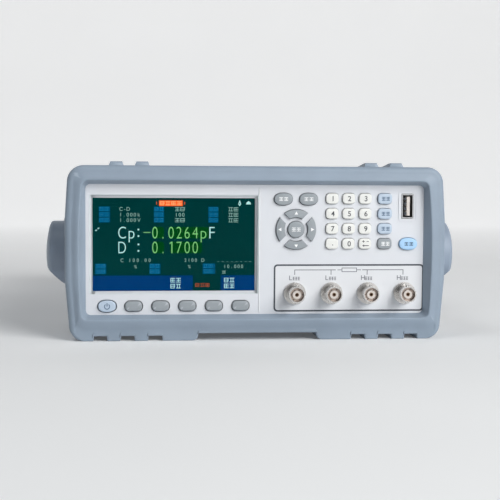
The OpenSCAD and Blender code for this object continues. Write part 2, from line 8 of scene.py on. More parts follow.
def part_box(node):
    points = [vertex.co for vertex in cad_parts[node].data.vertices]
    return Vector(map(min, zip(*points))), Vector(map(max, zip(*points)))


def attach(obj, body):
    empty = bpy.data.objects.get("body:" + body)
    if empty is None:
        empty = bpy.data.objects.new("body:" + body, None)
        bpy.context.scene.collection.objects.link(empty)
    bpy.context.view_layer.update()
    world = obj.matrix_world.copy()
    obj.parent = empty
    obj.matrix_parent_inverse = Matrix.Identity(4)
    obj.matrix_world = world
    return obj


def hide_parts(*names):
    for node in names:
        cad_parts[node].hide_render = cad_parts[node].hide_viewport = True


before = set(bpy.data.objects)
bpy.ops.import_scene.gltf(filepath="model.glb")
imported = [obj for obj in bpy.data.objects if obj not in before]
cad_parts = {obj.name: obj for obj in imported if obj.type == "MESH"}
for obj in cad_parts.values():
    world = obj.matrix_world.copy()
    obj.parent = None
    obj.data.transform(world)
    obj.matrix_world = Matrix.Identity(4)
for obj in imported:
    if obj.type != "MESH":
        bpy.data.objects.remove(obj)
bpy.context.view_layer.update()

MM = 0.001

# ---- places read from the frame ------------------------------------------------

PANEL_LOW, PANEL_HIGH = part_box("front_panel")
PANEL_Z = (PANEL_LOW[2] + PANEL_HIGH[2]) / 2      # height of the panel's centre
KEY_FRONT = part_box("key_5")[0][1]
KEY_OUT = 1.6 * MM                                # how far a key stands out of the panel
PANEL_Y = KEY_FRONT + KEY_OUT                     # the panel's front face
REAR_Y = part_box("rear_panel")[1][1]


def at(x, y, z):
    """A point given in millimetres from the middle of the panel's face."""
    return Vector((x * MM, PANEL_Y + y * MM, PANEL_Z + z * MM))


# ---- camera, as solved from the photograph ---------------------------------------

CAMERA_AT = (-68.0, -643.2, 39.1)      # millimetres from the middle of the panel's face
LENS, SENSOR = 79.2, 36.0
YAW, DIP, ROLL = 5.65, 3.44, 0.30      # degrees


def make_camera():
    data = bpy.data.cameras.new("camera")
    data.lens, data.sensor_width = LENS, SENSOR
    data.clip_start, data.clip_end = 0.05, 20.0
    cam = bpy.data.objects.new("camera", data)
    bpy.context.scene.collection.objects.link(cam)
    yaw, dip, roll = radians(YAW), radians(DIP), radians(ROLL)
    ahead = Vector((sin(yaw) * cos(dip), cos(yaw) * cos(dip), -sin(dip)))
    right = Vector((cos(yaw), -sin(yaw), 0))
    up = right.cross(ahead)
    right, up = right * cos(roll) + up * sin(roll), up * cos(roll) - right * sin(roll)
    turn = Matrix((right, up, -ahead)).transposed().to_4x4()
    cam.matrix_world = Matrix.Translation(at(*CAMERA_AT)) @ turn
    bpy.context.scene.camera = cam


make_camera()

# ---- materials -----------------------------------------------------------------


class Nodes:
    """Small helper that adds shader nodes and links them by name."""

    def __init__(self, name):
        self.mat = bpy.data.materials.new(name)
        self.mat.use_nodes = True
        self.tree = self.mat.node_tree
        self.bsdf = self.tree.nodes["Principled BSDF"]
        self.coords = self.tree.nodes.new("ShaderNodeTexCoord").outputs["Object"]

    def add(self, kind, **values):
        node = self.tree.nodes.new(kind)
        for key, value in values.items():
            if hasattr(node, key):
                setattr(node, key, value)
            else:
                node.inputs[key.replace("_", " ")].default_value = value
        return node

    def link(self, out, into):
        self.tree.links.new(out, into)

    def noise(self, scale, detail=3.0, rough=0.55, stretch=None):
        node = self.add("ShaderNodeTexNoise", Scale=scale, Detail=detail, Roughness=rough)
        coords = self.coords
        if stretch:
            mapping = self.add("ShaderNodeMapping")
            mapping.inputs["Scale"].default_value = stretch
            self.link(coords, mapping.inputs["Vector"])
            coords = mapping.outputs["Vector"]
        self.link(coords, node.inputs["Vector"])
        return node.outputs["Fac"]

    def ramp(self, fac, stops):
        node = self.add("ShaderNodeValToRGB")
        ramp = node.color_ramp
        while len(ramp.elements) < len(stops):
            ramp.elements.new(0.5)
        for element, (place, colour) in zip(ramp.elements, stops):
            element.position = place
            element.color = (*colour[:3], 1)
        self.link(fac, node.inputs["Fac"])
        return node.outputs["Color"]

    def range(self, fac, low, high, full=1.0):
        node = self.add("ShaderNodeMapRange")
        node.inputs["To Min"].default_value = low
        node.inputs["To Max"].default_value = high
        node.inputs["From Max"].default_value = full
        self.link(fac, node.inputs["Value"])
        return node.outputs["Result"]

    def bump(self, height, strength, distance):
        node = self.add("ShaderNodeBump", Strength=strength, Distance=distance)
        self.link(height, node.inputs["Height"])
        return node

    def edge_wear(self, base, worn, low=0.53, high=0.62):
        """Mixes in a worn colour along sharp edges."""
        geo = self.add("ShaderNodeNewGeometry")
        mask = self.ramp(geo.outputs["Pointiness"], [(low, (0, 0, 0)), (high, (1, 1, 1))])
        mix = self.add("ShaderNodeMix", data_type="RGBA")
        self.link(mask, mix.inputs["Factor"])
        self.link(base, mix.inputs["A"])
        mix.inputs["B"].default_value = (*worn, 1)
        return mix.outputs["Result"]


def shade(colour, factor):
    return tuple(min(1.0, c * factor) for c in colour)


def moulded(name, colour, rough=0.5, grain=1.0, fine=2600.0, mottle=0.05, worn=None, sheen=0.0):
    """Moulded plastic or rubber: fine grain, faint mottling and, where worn is given, paler edges."""
    n = Nodes(name)
    clouds = n.noise(38.0, 4.0)
    base = n.ramp(clouds, [(0.3, shade(colour, 1 - mottle)), (0.7, shade(colour, 1 + mottle))])
    if worn:
        base = n.edge_wear(base, worn)
    n.link(base, n.bsdf.inputs["Base Color"])
    grain_out = n.noise(fine, 2.0, 0.6)
    n.link(n.range(n.noise(90.0, 3.0), rough - 0.07, rough + 0.07), n.bsdf.inputs["Roughness"])
    n.link(n.bump(grain_out, 0.22 * grain, 0.00012).outputs["Normal"], n.bsdf.inputs["Normal"])
    n.bsdf.inputs["IOR"].default_value = 1.5
    n.bsdf.inputs["Sheen Weight"].default_value = sheen
    return n.mat


def metal(name, colour, rough=0.3, brushed=None, scratch=0.5):
    """Plated or brushed metal: fine streaks, stretched by brushed, and uneven polish."""
    n = Nodes(name)
    n.bsdf.inputs["Metallic"].default_value = 1.0
    streaks = n.noise(420.0, 3.0, 0.6, stretch=brushed or (1, 1, 1))
    base = n.ramp(streaks, [(0.35, shade(colour, 0.9)), (0.65, shade(colour, 1.06))])
    n.link(base, n.bsdf.inputs["Base Color"])
    n.link(n.range(n.noise(60.0, 4.0), rough - 0.08, rough + 0.1), n.bsdf.inputs["Roughness"])
    n.link(n.bump(streaks, 0.12 * scratch, 0.0001).outputs["Normal"], n.bsdf.inputs["Normal"])
    return n.mat


def powder_coat(name, colour):
    """Powder coat: fine orange peel, and darker colour along its edges."""
    n = Nodes(name)
    base = n.ramp(n.noise(1400.0, 2.0), [(0.35, shade(colour, 0.94)), (0.65, shade(colour, 1.03))])
    n.link(n.edge_wear(base, shade(colour, 0.8), 0.56, 0.7), n.bsdf.inputs["Base Color"])
    cells = n.add("ShaderNodeTexVoronoi", Scale=1500.0)
    n.link(n.coords, cells.inputs["Vector"])
    n.link(n.bump(cells.outputs["Distance"], 0.25, 0.00015).outputs["Normal"], n.bsdf.inputs["Normal"])
    n.link(n.range(n.noise(30.0, 3.0), 0.48, 0.62), n.bsdf.inputs["Roughness"])
    return n.mat


def circuit_board(name, colour, copper):
    """Laminate with solder mask, and copper lines from a brick pattern."""
    n = Nodes(name)
    bricks = n.add("ShaderNodeTexBrick", Scale=160.0)
    bricks.inputs["Mortar Size"].default_value = 0.03
    bricks.inputs["Color1"].default_value = (*colour, 1)
    bricks.inputs["Color2"].default_value = (*shade(colour, 0.8), 1)
    bricks.inputs["Mortar"].default_value = (*copper, 1)
    n.link(n.coords, bricks.inputs["Vector"])
    n.link(bricks.outputs["Color"], n.bsdf.inputs["Base Color"])
    n.link(n.range(n.noise(200.0), 0.25, 0.4), n.bsdf.inputs["Roughness"])
    n.link(n.bump(bricks.outputs["Fac"], 0.3, 0.0001).outputs["Normal"], n.bsdf.inputs["Normal"])
    return n.mat


def lit(name, colour):
    """A lit part of the display: a faintly uneven glow over a dark base."""
    n = Nodes(name)
    n.bsdf.inputs["Roughness"].default_value = 0.35
    clouds = n.noise(60.0, 2.0)
    glow = n.ramp(clouds, [(0.3, shade(colour, 0.92)), (0.7, shade(colour, 1.08))])
    n.bsdf.inputs["Base Color"].default_value = (*shade(colour, 0.3), 1)
    n.link(glow, n.bsdf.inputs["Emission Color"])
    n.bsdf.inputs["Emission Strength"].default_value = 1.0
    n.bsdf.inputs["Specular IOR Level"].default_value = 0.0
    return n.mat


def window_material():
    """Clear window: mostly see-through, with a thin reflection."""
    n = Nodes("window_clear")
    out = n.tree.nodes["Material Output"]
    clear = n.add("ShaderNodeBsdfTransparent")
    gloss = n.add("ShaderNodeBsdfGlossy")
    n.link(n.range(n.noise(120.0, 3.0), 0.08, 0.16), gloss.inputs["Roughness"])
    fresnel = n.add("ShaderNodeFresnel", IOR=1.1)
    mix = n.add("ShaderNodeMixShader")
    n.link(fresnel.outputs["Fac"], mix.inputs["Fac"])
    n.link(clear.outputs["BSDF"], mix.inputs[1])
    n.link(gloss.outputs["BSDF"], mix.inputs[2])
    n.link(mix.outputs["Shader"], out.inputs["Surface"])
    return n.mat


RUBBER = moulded("rubber_blue_grey", (0.238, 0.297, 0.37), 0.52, 1.0, 2200.0, 0.05,
                 (0.33, 0.395, 0.475), 0.05)
HANDLE = moulded("handle_blue_grey", (0.22, 0.275, 0.35), 0.46, 1.0, 2600.0, 0.05, (0.32, 0.38, 0.47))
GRIP = moulded("grip_rubber_soft", (0.17, 0.215, 0.29), 0.62, 1.4, 1500.0, 0.06, None, 0.1)
PANEL = moulded("panel_pale", (0.66, 0.68, 0.72), 0.42, 0.7, 3200.0, 0.015)
PANEL_LIGHT = moulded("panel_lighter_field", (0.70, 0.715, 0.745), 0.42, 0.5, 3200.0, 0.01)
INK = moulded("ink_dark_grey", (0.045, 0.055, 0.07), 0.5, 0.4, 2000.0, 0.05)
INK_SOFT = moulded("ink_grey", (0.18, 0.19, 0.22), 0.5, 0.4, 2000.0, 0.05)
KEY_GREY = moulded("key_grey", (0.29, 0.32, 0.345), 0.4, 0.6, 3000.0, 0.03, (0.42, 0.44, 0.48))
KEY_WHITE = moulded("key_white", (0.76, 0.765, 0.74), 0.4, 0.6, 3000.0, 0.02, (0.88, 0.88, 0.87))
KEY_BLUE = moulded("key_blue", (0.46, 0.55, 0.66), 0.4, 0.6, 3000.0, 0.02, (0.6, 0.69, 0.82))
KEY_SKY = moulded("key_sky", (0.37, 0.59, 0.84), 0.38, 0.6, 3000.0, 0.02, (0.5, 0.72, 0.95))
# white of the printed legends, also used as the painted highlight on the line between the screen side and
# the key side
LEGEND_WHITE_AND_HIGHLIGHT = moulded("legend_white_and_highlight", (0.86, 0.87, 0.88), 0.45, 0.4, 3000.0, 0.01)
LEGEND_DARK = moulded("legend_dark", (0.05, 0.055, 0.065), 0.5, 0.4, 3000.0, 0.03)
LEGEND_BLUE = moulded("legend_blue", (0.07, 0.13, 0.22), 0.5, 0.4, 3000.0, 0.03)
COVER = powder_coat("cover_powder_coat", (0.62, 0.64, 0.67))
ZINC = metal("zinc_sheet", (0.6, 0.62, 0.64), 0.38, (1, 12, 12))
NICKEL = metal("nickel_plate", (0.68, 0.66, 0.64), 0.26, (14, 14, 14), 0.1)
CONNECTOR = metal("connector_plate", (0.6, 0.6, 0.6), 0.34, (8, 8, 8), 0.1)
CONTACT = metal("contact_bronze", (0.24, 0.14, 0.08), 0.35)
SPRING = metal("spring_bronze", (0.48, 0.39, 0.34), 0.4)
PORT = metal("port_shell", (0.42, 0.42, 0.43), 0.35)
STEEL = metal("screw_steel", (0.62, 0.63, 0.65), 0.3)
TIN = metal("tin_plate", (0.68, 0.69, 0.69), 0.3, (1, 10, 1))
GOLD = metal("gold_plate", (0.83, 0.6, 0.25), 0.22)
BRASS = metal("brass_post", (0.72, 0.55, 0.25), 0.28)
# black plastic, also used as the painted shade deep inside the memory port
BLACK_AND_SHADE = moulded("black_plastic", (0.02, 0.02, 0.023), 0.42, 0.8)
WHITE = moulded("white_insulator", (0.62, 0.57, 0.53), 0.35, 0.4)
TAPE = moulded("winding_tape", (0.62, 0.42, 0.05), 0.35, 0.6, 400.0, 0.1)
GREEN_BOARD = circuit_board("green_board", (0.01, 0.12, 0.05), (0.06, 0.25, 0.1))
BROWN_BOARD = circuit_board("brown_board", (0.28, 0.18, 0.07), (0.4, 0.28, 0.12))
WINDOW = window_material()
# pale cyan that stands in for the light on the bevelled edge round the screen: a painted highlight
BORDER_HIGHLIGHT = moulded("border_pale_highlight", (0.6, 0.7, 0.7), 0.35, 0.4, 3000.0, 0.02)
LCD_DARK = moulded("lcd_frame", (0.03, 0.035, 0.04), 0.3, 0.3)

# ---- carried-over CAD nodes ------------------------------------------------------

CAD_LOOKS = {
    "top_cover": COVER, "chassis_tray": ZINC, "front_panel": PANEL, "screen_window": WINDOW,
    "lcd_module": LCD_DARK, "key_board": GREEN_BOARD, "key_switches": BLACK_AND_SHADE,
    "bnc_shells": NICKEL, "bnc_nuts": NICKEL, "bnc_insulators": WHITE, "bnc_contacts": CONTACT,
    "usb_shell": PORT, "usb_tongue": WHITE, "main_board": GREEN_BOARD, "shield_can": TIN,
    "psu_board": BROWN_BOARD, "psu_transformer": TAPE, "standoffs": BRASS,
    "rear_panel": ZINC, "inlet_body": BLACK_AND_SHADE, "inlet_pins": NICKEL, "serial_port": CONNECTOR,
    "handler_port": CONNECTOR, "handle_arm_left": HANDLE, "handle_arm_right": HANDLE,
    "handle_grip": GRIP, "handle_pivots": ZINC, "case_screws": STEEL,
}


def paint(obj, material):
    obj.data.materials.clear()
    obj.data.materials.append(material)


def soften(obj, width, angle=32):
    """Rounds an object's sharp edges with a bevel; width is in millimetres."""
    mod = obj.modifiers.new("edges", "BEVEL")
    mod.width, mod.segments = width * MM, 2
    mod.limit_method, mod.angle_limit = "ANGLE", radians(angle)


for node_name, look in CAD_LOOKS.items():
    paint(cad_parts[node_name], look)

# rounding of the edges of pressed and moulded pieces, in millimetres
EDGE_ROUNDING = {
    "top_cover": 0.45, "chassis_tray": 0.35, "rear_panel": 0.2, "front_panel": 0.25,
    "handle_arm_left": 0.8, "handle_arm_right": 0.8, "handle_grip": 2.0, "inlet_body": 0.5,
    "serial_port": 0.3, "handler_port": 0.3, "usb_shell": 0.12, "usb_tongue": 0.15, "case_screws": 0.15,
}
for node_name, width in EDGE_ROUNDING.items():
    soften(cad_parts[node_name], width)
    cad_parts[node_name].modifiers.new("normals", "WEIGHTED_NORMAL").keep_sharp = True

# ---- mesh helpers ----------------------------------------------------------------


def finish_mesh(name, bm, material, body, smooth):
    """Turns a bmesh into a piece that rides on a body; edges under smooth degrees are shaded smooth."""
    bmesh.ops.remove_doubles(bm, verts=bm.verts, dist=1e-7)
    bmesh.ops.recalc_face_normals(bm, faces=bm.faces)
    mesh = bpy.data.meshes.new(name)
    bm.to_mesh(mesh)
    bm.free()
    if smooth:
        mesh.shade_smooth()
        mesh.set_sharp_from_angle(angle=radians(smooth))
    mesh.materials.append(material)
    obj = bpy.data.objects.new(name, mesh)
    bpy.context.scene.collection.objects.link(obj)
    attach(obj, body)
    return obj


def loft(bm, rings, closed=True, wrap=False, caps=False):
    """Skins a list of rings, each a list of points; wrap joins the last ring to the first."""
    rows = [[bm.verts.new(p) for p in ring] for ring in rings]
    count = len(rows[0])
    for a, b in zip(rows, rows[1:] + (rows[:1] if wrap else [])):
        for i in range(count if closed else count - 1):
            j = (i + 1) % count
            bm.faces.new((a[i], a[j], b[j], b[i]))
    if caps:
        bm.faces.new(list(reversed(rows[0])))
        bm.faces.new(rows[-1])


def arc_points(cx, cz, r, start, end, steps):
    return [(cx + r * cos(radians(start + (end - start) * k / steps)),
             cz + r * sin(radians(start + (end - start) * k / steps))) for k in range(steps + 1)]


def rounded_outline(w, h, r, steps=6):
    """Anticlockwise rounded rectangle about the origin, in millimetres."""
    points = []
    for sx, sz, start in ((1, -1, -90), (1, 1, 0), (-1, 1, 90), (-1, -1, 180)):
        points += arc_points(sx * (w / 2 - r), sz * (h / 2 - r), r, start, start + 90, steps)
    return points


def oval_outline(w, h):
    """An ellipse filled out a little towards its corners."""
    steps, power = 48, 0.86
    points = []
    for k in range(steps):
        c, s = cos(2 * pi * k / steps), sin(2 * pi * k / steps)
        points.append((abs(c) ** power * w / 2 * (1 if c >= 0 else -1),
                       abs(s) ** power * h / 2 * (1 if s >= 0 else -1)))
    return points


def inset_outline(points, d):
    """Moves each point of an anticlockwise outline inwards by d."""
    out = []
    count = len(points)
    for i in range(count):
        ax, az = points[i - 1]
        bx, bz = points[i]
        cx, cz = points[(i + 1) % count]
        n1 = Vector((bz - az, ax - bx))
        n2 = Vector((cz - bz, bx - cx))
        n1 = n1.normalized() if n1.length > 1e-9 else n1
        n2 = n2.normalized() if n2.length > 1e-9 else n2
        n = n1 + n2
        if n.length < 1e-6:
            n = n1
        n.normalize()
        push = d / max(0.5, n.dot(n1) if n1.length > 0 else 1.0)
        out.append((bx - n[0] * push, bz - n[1] * push))
    return out


# ---- bumpers ---------------------------------------------------------------------
# All sizes in millimetres from the middle of the panel; y is counted from the lip's face.

SIDE_HALF = 112.1          # half-width in the middle of the sides
SIDE_FLAT = 17.0           # height above and below the middle at which the sides begin to draw in
TOP_CORNER = (101.0, 39.8, 9.7)       # centre x, centre z and radius
BASE_CORNER = (100.8, -43.6, 9.0)
BASE_Z, NOTCH_Z, FOOT_Z = -48.4, -49.7, -52.6
RIDGE_RISE = 2.3
# a foot or ridge rises between its first two x places and ends between its last two
FOOT_EDGES = [(34.8, 35.0, 55.7, 56.1), (63.8, 64.2, 71.9, 72.3),
              (79.8, 80.2, 87.7, 88.1), (95.4, 95.8, 120, 121)]
RIDGE_EDGES = [(63.2, 64.0, 70.8, 71.8), (78.2, 79.0, 85.8, 86.8)]
# rounded inner end of the wide foot, as x and share of the foot's height
NOSE = [(35.0, 0.35), (35.3, 0.6), (36.0, 0.82), (37.2, 0.95), (38.6, 1.0)]
# ridge profile: share of the rise, depth behind the lip's face, and least distance to the rear edge
RIDGE_STEPS = [(0.8, 5.4, 0.9), (1.0, 6.1, 0.85), (0.9, 12.0, 0.8)]
RIDGE_START = 4.9          # depth behind the lip's face at which the ridges begin
HUB_NOTCH = (37.0, -3.2, 20.8)        # centre's depth behind the panel, its height, and the radius
# width, height and corner radius of the opening at the panel and at the lip, and of the case's sleeve
PANEL_EDGE, MOUTH, SLEEVE = (199.8, 76.2, 2.8), (206.6, 80.1, 3.2), (213.6, 86.6, 0.4)
MOUTH_SHIFT = (-0.3, 0.5)  # the opening sits a little left of and above the middle
MOUTH_BOW = 0.022          # share by which the lip's opening narrows at its top
EDGE_R, FOOT_EDGE_R = 3.6, 0.9        # rounding of the outer front edge, and of the same edge on the feet
REAR_R = 0.7               # rounding of the outer rear edge
FACE_SLOPE = 1.6           # how far the front face falls back towards its outer edge
BASE_SLOPE = 0.8           # and how much more it does so along the base
LIP_EDGE = 0.8             # rounding of the lip's inner edge


def lerp(a, b, t):
    return a + (b - a) * t


def trapezoid(x, edges):
    """0 outside the edges, 1 between the inner two, and straight ramps between."""
    a, b, c, d = edges
    if x <= a or x >= d:
        return 0.0
    if x < b:
        return (x - a) / (b - a)
    return 1.0 if x <= c else (d - x) / (d - c)


def base_height(x):
    x = abs(x)
    floor = NOTCH_Z if x > FOOT_EDGES[0][2] else BASE_Z
    share = max(trapezoid(x, e) for e in FOOT_EDGES)
    if x < NOSE[-1][0] and share > 0:
        share = max([q for p, q in NOSE if p <= x + 0.01] or [0.0])
    return lerp(floor, FOOT_Z, share)


def ridge_height(x):
    return RIDGE_RISE * max(trapezoid(abs(x), e) for e in RIDGE_EDGES)


def side_half(z):
    for side, (x, corner_z, r) in ((1, TOP_CORNER), (-1, BASE_CORNER)):
        if side * z > SIDE_FLAT:
            return lerp(SIDE_HALF, x + r, (side * z - SIDE_FLAT) / (side * corner_z - SIDE_FLAT))
    return SIDE_HALF


def stations():
    """Places round a bumper, as (section, share of the section)."""
    base_x = sorted({s * x for e in FOOT_EDGES for x in e if x < 100 for s in (-1, 1)}
                    | {s * x for s in (-1, 1) for x in (0, 18, 45, 60, 68, 75.5, 83, 91, 97.5)}
                    | {s * x for x, _ in NOSE for s in (-1, 1)})
    top_x = sorted({s * x for e in RIDGE_EDGES for x in e for s in (-1, 1)}
                   | {s * x for s in (-1, 1) for x in (0, 20, 40, 56, 69, 77, 85, 96)})
    out = [("base", 0.0)] + [("base", (x / BASE_CORNER[0] + 1) / 2) for x in base_x]
    out += [("base_right", k / 10) for k in range(11)]
    out += [("right", k / 44) for k in range(1, 44)]
    out += [("top_right", k / 10) for k in range(11)]
    out += [("top", 1 - (x / TOP_CORNER[0] + 1) / 2) for x in reversed(top_x)]
    out += [("top_left", k / 10) for k in range(11)]
    out += [("left", k / 44) for k in range(1, 44)]
    out += [("base_left", k / 10) for k in range(10)]
    return out


def outer_point(section, t, ridge=1.0):
    tx, tz, tr = TOP_CORNER
    bx, bz, br = BASE_CORNER
    if section == "base":
        x = lerp(-bx, bx, t)
        return x, base_height(x)
    if section == "top":
        x = lerp(tx, -tx, t)
        return x, tz + tr + ridge * ridge_height(x)
    if section in ("right", "left"):
        z = lerp(bz, tz, t) if section == "right" else lerp(tz, bz, t)
        return (1 if section == "right" else -1) * side_half(z), z
    cx, cz, r, start = {"base_right": (bx, bz, br, -90), "top_right": (tx, tz, tr, 0),
                        "top_left": (-tx, tz, tr, 90), "base_left": (-bx, bz, br, 180)}[section]
    a = radians(start + 90 * t)
    return cx + r * cos(a), cz + r * sin(a)


def inner_point(section, t, size, bow=0.0):
    """The matching place on a rounded rectangle; bow narrows it towards the top and base."""
    w, h, r = size
    cx, cz = w / 2 - r, h / 2 - r
    if section == "base":
        x, z = lerp(-cx, cx, t), -h / 2
    elif section == "top":
        x, z = lerp(cx, -cx, t), h / 2
    elif section in ("right", "left"):
        z = lerp(-cz, cz, t) if section == "right" else lerp(cz, -cz, t)
        x = w / 2 if section == "right" else -w / 2
    else:
        sx, sz, start = {"base_right": (1, -1, -90), "top_right": (1, 1, 0),
                         "top_left": (-1, 1, 90), "base_left": (-1, -1, 180)}[section]
        a = radians(start + 90 * t)
        x, z = sx * cx + r * cos(a), sz * cz + r * sin(a)
    half_h = h / 2
    x *= 1 - bow * (z / half_h) ** 2 * (1.0 if z > 0 else 0.6)
    shift = (0, 0) if size is SLEEVE else MOUTH_SHIFT
    return x + shift[0], z + shift[1]


def inset_by(points, amounts):
    """Insets an outline by a different amount at each point."""
    full = inset_outline(points, 1.0)
    return [(lerp(p[0], f[0], d), lerp(p[1], f[1], d)) for p, f, d in zip(points, full, amounts)]


def between(outline, other, share):
    return [(lerp(a[0], b[0], share), lerp(a[1], b[1], share)) for a, b in zip(outline, other)]


def base_share(section, t):
    """1 along the base, fading to 0 round the two base corners."""
    return {"base": 1.0, "base_right": 1 - t, "base_left": t}.get(section, 0.0)


def without_feet(section, x, z):
    """The place on an outline that has no feet, from which the face slopes back."""
    if section == "base":
        return x, BASE_Z
    centre = BASE_CORNER[1]
    return x, centre + min(z - centre, 0) * (BASE_Z - centre) / (FOOT_Z - centre) + max(z - centre, 0)


def make_bumper(name, node, lip_y, way, lip_depth, depth, hub_notch):
    """lip_y is the lip's front face; way is 1 if the bumper runs backwards from it, -1 if forwards."""
    places = stations()
    n = len(places)
    ridged = [outer_point(s, t) for s, t in places]
    plain = [outer_point(s, t, 0.0) for s, t in places]
    radius = [lerp(EDGE_R, FOOT_EDGE_R, base_share(s, t)) for s, t in places]
    slope = [FACE_SLOPE + BASE_SLOPE * base_share(s, t) for s, t in places]

    def rear_y(section, z):
        if not hub_notch or section not in ("left", "right"):
            return depth
        y, hz, r = HUB_NOTCH
        gap = r * r - (z - hz) ** 2
        return min(depth, lip_depth + y - sqrt(gap)) if gap > 0 else depth

    rears = [rear_y(s, p[1]) for (s, t), p in zip(places, plain)]
    panel = [inner_point(s, t, PANEL_EDGE) for s, t in places]
    sleeve = [inner_point(s, t, SLEEVE) for s, t in places]
    lip = [inner_point(s, t, MOUTH, MOUTH_BOW) for s, t in places]
    rings = []

    def ring(points, ys):
        rings.append([at(p[0], lip_y + way * y, p[1]) for p, y in zip(points, ys)])

    ring(sleeve, rears)
    ring(sleeve, [lip_depth] * n)
    ring(panel, [lip_depth] * n)
    # the slope from the panel to the lip, then the lip's rounded inner edge
    for share in (0.04, 0.5):
        ring(between(panel, lip, share), [lerp(lip_depth, LIP_EDGE, share)] * n)
    for k in range(5):
        a = radians(90 * k / 4)
        ring(inset_by(lip, [-LIP_EDGE * (1 - cos(a))] * n), [LIP_EDGE * (1 - sin(a))] * n)
    # the face slopes back as if there were no feet, and the feet carry on straight down from it
    inner_ring = inset_by(lip, [-LIP_EDGE] * n)
    footless = [without_feet(s, *p) for (s, t), p in zip(places, plain)]
    outer_ring = inset_by(footless, [q + 0.3 for q in radius])
    for share in (0.12, 0.35, 0.65, 1.0):
        ring(between(inner_ring, outer_ring, share), [q * share ** 1.5 for q in slope])
    for k in range(7):
        a = radians(90 * k / 6)
        ring(inset_by(plain, [q * (1 - sin(a)) for q in radius]),
             [d + 0.8 * q * (1 - cos(a)) for d, q in zip(slope, radius)])
    # the ridges rise just behind the front edge
    ring(plain, [RIDGE_START] * n)
    for share, y, gap in RIDGE_STEPS:
        ring(between(plain, ridged, share), [min(y, e - gap) for e in rears])
    ring(between(plain, ridged, 0.1), [e - REAR_R for e in rears])
    for k in range(1, 4):
        a = radians(90 * k / 3)
        ring(inset_by(plain, [REAR_R * (1 - cos(a))] * n), [e - REAR_R * (1 - sin(a)) for e in rears])
    bm = bmesh.new()
    loft(bm, rings, wrap=True)
    obj = finish_mesh(name, bm, RUBBER, "case", 38)
    soften(obj, 0.45, 34)
    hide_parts(node)


LIP_OUT = 6.3              # how far the lip stands out of the panel
BUMPER_GRIP = 24.0         # length of either bumper over the case
REAR_MM = (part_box("rear_bumper")[1][1] - PANEL_Y) / MM
REAR_OUT = REAR_MM - (REAR_Y - PANEL_Y) / MM
make_bumper("bumper_front", "front_bumper", -LIP_OUT, 1, LIP_OUT, LIP_OUT + BUMPER_GRIP, True)
make_bumper("bumper_rear", "rear_bumper", REAR_MM, -1, REAR_OUT, REAR_OUT + BUMPER_GRIP, False)

# ---- thin printed and lit shapes -------------------------------------------------

MARK_T = 0.1       # thickness of the printed marks on the panel, in millimetres
LEGEND_T = 0.12    # thickness of the legends on the keys


def plate(bm, outline, y_front, thick, hole=None):
    """A thin plate facing the front, from an outline in millimetres, with an optional hole."""
    def points(shape, y):
        return [at(p[0], y, p[1]) for p in shape]
    rim = [points(outline, y_front), points(outline, y_front + thick)]
    if hole:
        loft(bm, [points(hole, y_front + thick), points(hole, y_front)] + rim, wrap=True)
    else:
        loft(bm, rim[::-1], caps=True)


def moved(outline, x, z):
    return [(p[0] + x, p[1] + z) for p in outline]


def bar(bm, x0, z0, x1, z1, y, thick, r=0.0):
    """A flat bar between two opposite corners, with rounded corners where r is given."""
    w, h = abs(x1 - x0), abs(z1 - z0)
    shape = rounded_outline(w, h, min(r, w / 2.01, h / 2.01), 3) if r else \
        [(-w / 2, -h / 2), (w / 2, -h / 2), (w / 2, h / 2), (-w / 2, h / 2)]
    plate(bm, moved(shape, (x0 + x1) / 2, (z0 + z1) / 2), y, thick)


def stroke(bm, points, width, y, thick, closed=False):
    """A line of even width through some points."""
    count = len(points)
    left, right = [], []
    for i, (x, z) in enumerate(points):
        a = points[i - 1] if (i > 0 or closed) else points[i]
        b = points[(i + 1) % count] if (i < count - 1 or closed) else points[i]
        d1 = Vector((x - a[0], z - a[1]))
        d2 = Vector((b[0] - x, b[1] - z))
        d1 = d1.normalized() if d1.length > 1e-9 else d2.normalized()
        d2 = d2.normalized() if d2.length > 1e-9 else d1
        t = (d1 + d2).normalized()
        s = width / 2 / max(0.4, t.dot(d1))
        left.append((x - t[1] * s, z + t[0] * s))
        right.append((x + t[1] * s, z - t[0] * s))
    if closed:
        plate(bm, right, y, thick, hole=left)
    else:
        plate(bm, right + left[::-1], y, thick)


def marks(bm, x, z, y, cells, w, h, gap, line):
    """Plain pictograms side by side, each three level lines and an upright."""
    total = cells * w + (cells - 1) * gap
    for c in range(cells):
        x0 = x - total / 2 + c * (w + gap)
        for k in range(3):
            zz = z - h / 2 + (h - line) * k / 2
            bar(bm, x0, zz, x0 + w, zz + line, y, LEGEND_T)
        mid = x0 + w / 2
        bar(bm, mid - line / 2, z - h / 2 + line, mid + line / 2, z + h / 2 - line, y, LEGEND_T)


GLYPHS = {}


def glyph_mesh(char, thin):
    """The outline mesh of one character of the built-in font, drawn thinner or bolder."""
    if (char, thin) not in GLYPHS:
        curve = bpy.data.curves.new("glyph", "FONT")
        curve.body = char
        curve.offset = thin
        curve.resolution_u = 6
        obj = bpy.data.objects.new("glyph", curve)
        bpy.context.scene.collection.objects.link(obj)
        bpy.context.view_layer.update()
        mesh = bpy.data.meshes.new_from_object(obj)
        verts = [tuple(v.co[:2]) for v in mesh.vertices]
        faces = [tuple(p.vertices) for p in mesh.polygons]
        bpy.data.objects.remove(obj)
        bpy.data.curves.remove(curve)
        bpy.data.meshes.remove(mesh)
        GLYPHS[char, thin] = (verts, faces)
    return GLYPHS[char, thin]


